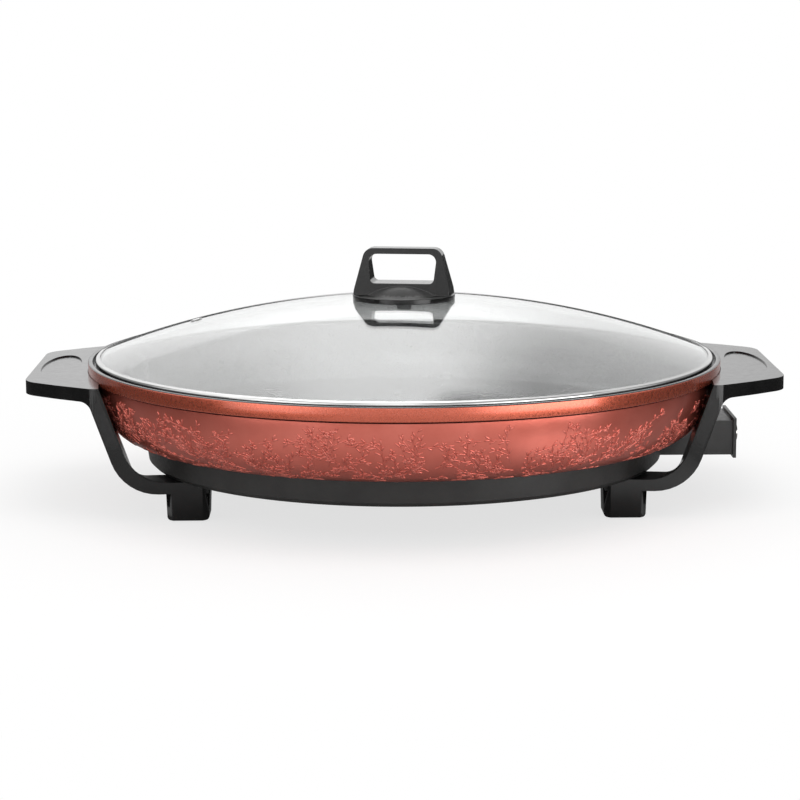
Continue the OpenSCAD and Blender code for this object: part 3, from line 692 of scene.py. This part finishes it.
# The knob: a gloss black moulding with a round skirt and a finger loop over a satin bell.
# One screw holds it from below through the glass, between soft washers.
knob_round = 0.8
bell_r = 24.6
bell_slope = 0.25
bell_low, bell_high = [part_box("lid_knob")[1].z - down * mm for down in (29.5, 22.1)]
satin, tree, shader = new_finish("satin black bell", {"Specular IOR Level": 0.5})
tint(tree, shader, grain(tree, 80, 4), (0.03, 0.03, 0.03), (0.042, 0.042, 0.041))
vary(tree, shader, grain(tree, 600, 3), "Roughness", 0.36, 0.48)

knob = softened("knob_loop", "lid_knob", knob_round, 3, moulding)
knob.data.materials.append(satin)
for face in knob.data.polygons:
    near_axis = math.hypot(face.center.x, face.center.y) < bell_r * mm
    if near_axis and bell_low < face.center.z < bell_high and face.normal.z > bell_slope:
        face.material_index = 1
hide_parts("lid_knob")
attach(knob, "lid")

silicone, tree, shader = new_finish("matt silicone", {"Specular IOR Level": 0.4})
tint(tree, shader, grain(tree, 250, 4), (0.03, 0.03, 0.03), (0.06, 0.06, 0.06))
vary(tree, shader, grain(tree, 500, 3), "Roughness", 0.5, 0.7)
finish_nodes(silicone, "knob_gasket", "knob_sleeve")

# The floor: pale paper that runs out to white and keeps the shadow near the pan.
# Reflections see it with a painted shadow under the pan, painted shade at the sides and a painted pool of
# light at the front right.
# Each run gives where it starts and ends, in metres, and its value at both.
floor_half = 30
floor_drop = 0.0003
white_run = (0.2, 0.55, 0.72, 1.0)
painted_shadow_run = (0.15, 0.3, 0.1, 0.64)
painted_side_shade_run = (0.12, 0.27, 0.0, 0.93)
painted_light_run = (0.02, 0.08, 1.0, 0.0)
painted_light_place = (0.16, -0.215, 0)
painted_light_level = 1.4


def blend(tree, share, first, second):
    """A value that goes from first to second with share; each is a number or a socket."""
    node = tree.nodes.new("ShaderNodeMix")
    for socket, value in (("Factor", share), ("A", first), ("B", second)):
        if isinstance(value, float):
            node.inputs[socket].default_value = value
        else:
            tree.links.new(value, node.inputs[socket])
    return node.outputs["Result"]


def ramped(tree, value, start, end, low, high):
    """A value that runs smoothly from low to high as another goes from start to end."""
    node = tree.nodes.new("ShaderNodeMapRange")
    node.interpolation_type = "SMOOTHSTEP"
    tree.links.new(value, node.inputs["Value"])
    for socket, number in (("From Min", start), ("From Max", end), ("To Min", low), ("To Max", high)):
        node.inputs[socket].default_value = number
    return node.outputs["Result"]


def reckoned(tree, operation, first, second=None):
    """Result of one sum on a socket, with a number or another socket where it takes two."""
    node = tree.nodes.new("ShaderNodeMath")
    node.operation = operation
    tree.links.new(first, node.inputs[0])
    if isinstance(second, float):
        node.inputs[1].default_value = second
    elif second is not None:
        tree.links.new(second, node.inputs[1])
    return node.outputs["Value"]


def distance(tree, place, point):
    """How far a place is from a point."""
    node = tree.nodes.new("ShaderNodeVectorMath")
    node.operation = "DISTANCE"
    node.inputs[1].default_value = point
    tree.links.new(place, node.inputs[0])
    return node.outputs["Value"]


def parts(tree, vector):
    """The X, Y and Z of a vector, as sockets."""
    node = tree.nodes.new("ShaderNodeSeparateXYZ")
    tree.links.new(vector, node.inputs["Vector"])
    return node.outputs


paper, tree, shader = new_finish("pale floor", {"Base Color": (0.96, 0.96, 0.96, 1), "Roughness": 0.9})
rays = tree.nodes.new("ShaderNodeLightPath").outputs
place = tree.nodes.new("ShaderNodeTexCoord").outputs["Object"]
reach = distance(tree, place, (0, 0, 0))
aside = reckoned(tree, "ABSOLUTE", parts(tree, place)["X"])
# What reflections see: painted shadow under the pan, then painted shade at the sides.
mirrored = ramped(tree, reach, *painted_shadow_run)
mirrored = blend(tree, ramped(tree, aside, *painted_side_shade_run), mirrored, 0.0)
# A painted pool of light at the front right, for reflections only.
painted_light = ramped(tree, distance(tree, place, painted_light_place), *painted_light_run)
mirrored = blend(tree, painted_light, mirrored, painted_light_level)
level = blend(tree, rays["Is Glossy Ray"], 1.0, mirrored)
glow = tree.nodes.new("ShaderNodeEmission")
tree.links.new(blend(tree, rays["Is Transmission Ray"], level, 1.0), glow.inputs["Strength"])
mixed = tree.nodes.new("ShaderNodeMixShader")
white = ramped(tree, reach, *white_run)
tree.links.new(blend(tree, rays["Is Diffuse Ray"], white, 0.0), mixed.inputs["Fac"])
tree.links.new(shader.outputs["BSDF"], mixed.inputs[1])
tree.links.new(glow.outputs["Emission"], mixed.inputs[2])
tree.links.new(mixed.outputs["Shader"], tree.nodes["Material Output"].inputs["Surface"])
mesh = bmesh.new()
bmesh.ops.create_grid(mesh, x_segments=8, y_segments=8, size=floor_half)
for vert in mesh.verts:
    vert.co.z = -floor_drop
floor = placed("floor", mesh, [paper])
floor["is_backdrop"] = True

# The front card: a lit white card that curves round the front of the pan, which only reflections see.
# It is brighter towards its ends, so that the wall shows light to the left and right of its middle.
card_h = 0.3
card_line = [
    (-0.48, -0.33), (-0.37, -0.46), (-0.23, -0.55), (0, -0.6), (0.23, -0.55), (0.37, -0.46), (0.48, -0.3)]
left_run = (-0.5, -0.38, 0.4, 1.5)
middle_run = (-0.36, -0.16, 0.0, 1.0)
middle_level = 0.14
right_run = (0.14, 0.34, 0.0, 1.0)
right_level = 3.4
white_card, tree, shader = new_finish(
    "lit white card", {"Base Color": (0.9, 0.9, 0.9, 1), "Emission Color": (1, 1, 1, 1)})
across = parts(tree, tree.nodes.new("ShaderNodeTexCoord").outputs["Object"])["X"]
level = ramped(tree, across, *left_run)
level = blend(tree, ramped(tree, across, *middle_run), level, middle_level)
level = blend(tree, ramped(tree, across, *right_run), level, right_level)
tree.links.new(level, shader.inputs["Emission Strength"])
mesh = bmesh.new()
for (x, y), (next_x, next_y) in zip(card_line, card_line[1:]):
    corners = [(x, y, 0), (next_x, next_y, 0), (next_x, next_y, card_h), (x, y, card_h)]
    mesh.faces.new([mesh.verts.new(corner) for corner in corners])
front = placed("card_front", mesh, [white_card])
front.visible_camera = False
front.visible_diffuse = False
front.visible_transmission = False
front.visible_shadow = False
front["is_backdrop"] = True

# The room: white walls that get brighter towards the ceiling, plainer to the left and to the right.
# Above the pan's right and in the two far corners it is darker, and straight up it is even.
# Each run gives where it starts and ends along X, Y or Z of the direction, and its value at both.
room_levels = (
    (0.0, 1.0), (0.12, 1.15), (0.27, 1.6), (0.31, 1.75), (0.345, 1.5),
    (0.45, 2.0), (0.55, 2.4), (0.66, 3.0), (0.78, 3.6), (0.9, 2.0))
brightest = 4.0
plain_left_run = (-0.25, -0.05, 0.5, 1.0)
plain_right_run = (0.04, 0.2, 1.0, 0.12)
high_run = (0.7, 0.79, 0.0, 1.0)
high_right_run = (0.03, 0.1, 0.0, 1.0)
high_right_level = 0.3
corner_run = (0.35, 0.6, 0.0, 1.0)
far_run = (0.1, 0.4, 0.0, 1.0)
corner_level = 0.4
overhead_run = (0.8, 0.93, 0.0, 1.0)
overhead_level = 0.7
fill_level = 0.72
scene = bpy.context.scene
scene.world = bpy.data.worlds.new("studio")
scene.world.use_nodes = True
tree = scene.world.node_tree
sky = tree.nodes["Background"]
rays = tree.nodes.new("ShaderNodeLightPath").outputs
facing = parts(tree, tree.nodes.new("ShaderNodeTexCoord").outputs["Generated"])
ceiling = tree.nodes.new("ShaderNodeValToRGB")
tree.links.new(facing["Z"], ceiling.inputs["Fac"])
stops = ceiling.color_ramp.elements
while len(stops) < len(room_levels):
    stops.new(0.5)
for stop, (height, value) in zip(stops, room_levels):
    stop.position = height
    stop.color = (value / brightest, value / brightest, value / brightest, 1)
room = reckoned(tree, "MULTIPLY", ceiling.outputs["Color"], brightest)
room = blend(tree, ramped(tree, facing["X"], *plain_left_run), 1.0, room)
room = blend(tree, ramped(tree, facing["X"], *plain_right_run), 1.0, room)
high = ramped(tree, facing["Z"], *high_run)
high_right = blend(tree, ramped(tree, facing["X"], *high_right_run), 0.0, high)
room = blend(tree, high_right, room, high_right_level)
aside = reckoned(tree, "ABSOLUTE", facing["X"])
far = ramped(tree, facing["Y"], *far_run)
corners = blend(tree, ramped(tree, aside, *corner_run), 0.0, far)
room = blend(tree, corners, room, corner_level)
room = blend(tree, ramped(tree, facing["Z"], *overhead_run), room, overhead_level)
room = reckoned(tree, "MAXIMUM", room, rays["Is Transmission Ray"])
room = blend(tree, rays["Is Diffuse Ray"], room, fill_level)
tree.links.new(blend(tree, rays["Is Camera Ray"], room, 1.0), sky.inputs["Strength"])
sky.inputs["Color"].default_value = (1, 1, 1, 1)

# The lamp and the camera: one large soft box overhead, a little to the front and right, that lights
# the pan and isn't seen itself, and the camera at the photograph's angle.
lamp_radiance = 2.3
lamp_size = 1.4
lamp_place = Vector((0.3, -0.5, 1.9))
lamp_aim = Vector((0, 0, 0.05))
image_px = 800
focal_px = 2483.3
eye_place = (-0.00273, -1.56495, 0.3266)
eye_turn = -0.82
eye_tilt = 90 - 9.69
eye_roll = -0.23
lamp = bpy.data.lights.new("overhead soft box", "AREA")
lamp.shape = "RECTANGLE"
lamp.size = lamp_size
lamp.size_y = lamp_size
lamp.energy = lamp_radiance * math.pi * lamp_size * lamp_size
box = bpy.data.objects.new("overhead soft box", lamp)
box.location = lamp_place
box.rotation_euler = (lamp_aim - lamp_place).to_track_quat("-Z", "Y").to_euler()
box.visible_camera = False
box.visible_glossy = False
box.visible_transmission = False
scene.collection.objects.link(box)

eye = bpy.data.cameras.new("camera")
eye.sensor_width = 36
eye.lens = focal_px / image_px * eye.sensor_width
camera = bpy.data.objects.new("camera", eye)
camera.matrix_world = (
    Matrix.Rotation(math.radians(eye_turn), 4, "Z")
    @ Matrix.Translation(eye_place)
    @ Matrix.Rotation(math.radians(eye_tilt), 4, "X")
    @ Matrix.Rotation(math.radians(eye_roll), 4, "Z"))
scene.collection.objects.link(camera)
scene.camera = camera
scene.view_settings.view_transform = "Standard"

low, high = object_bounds()
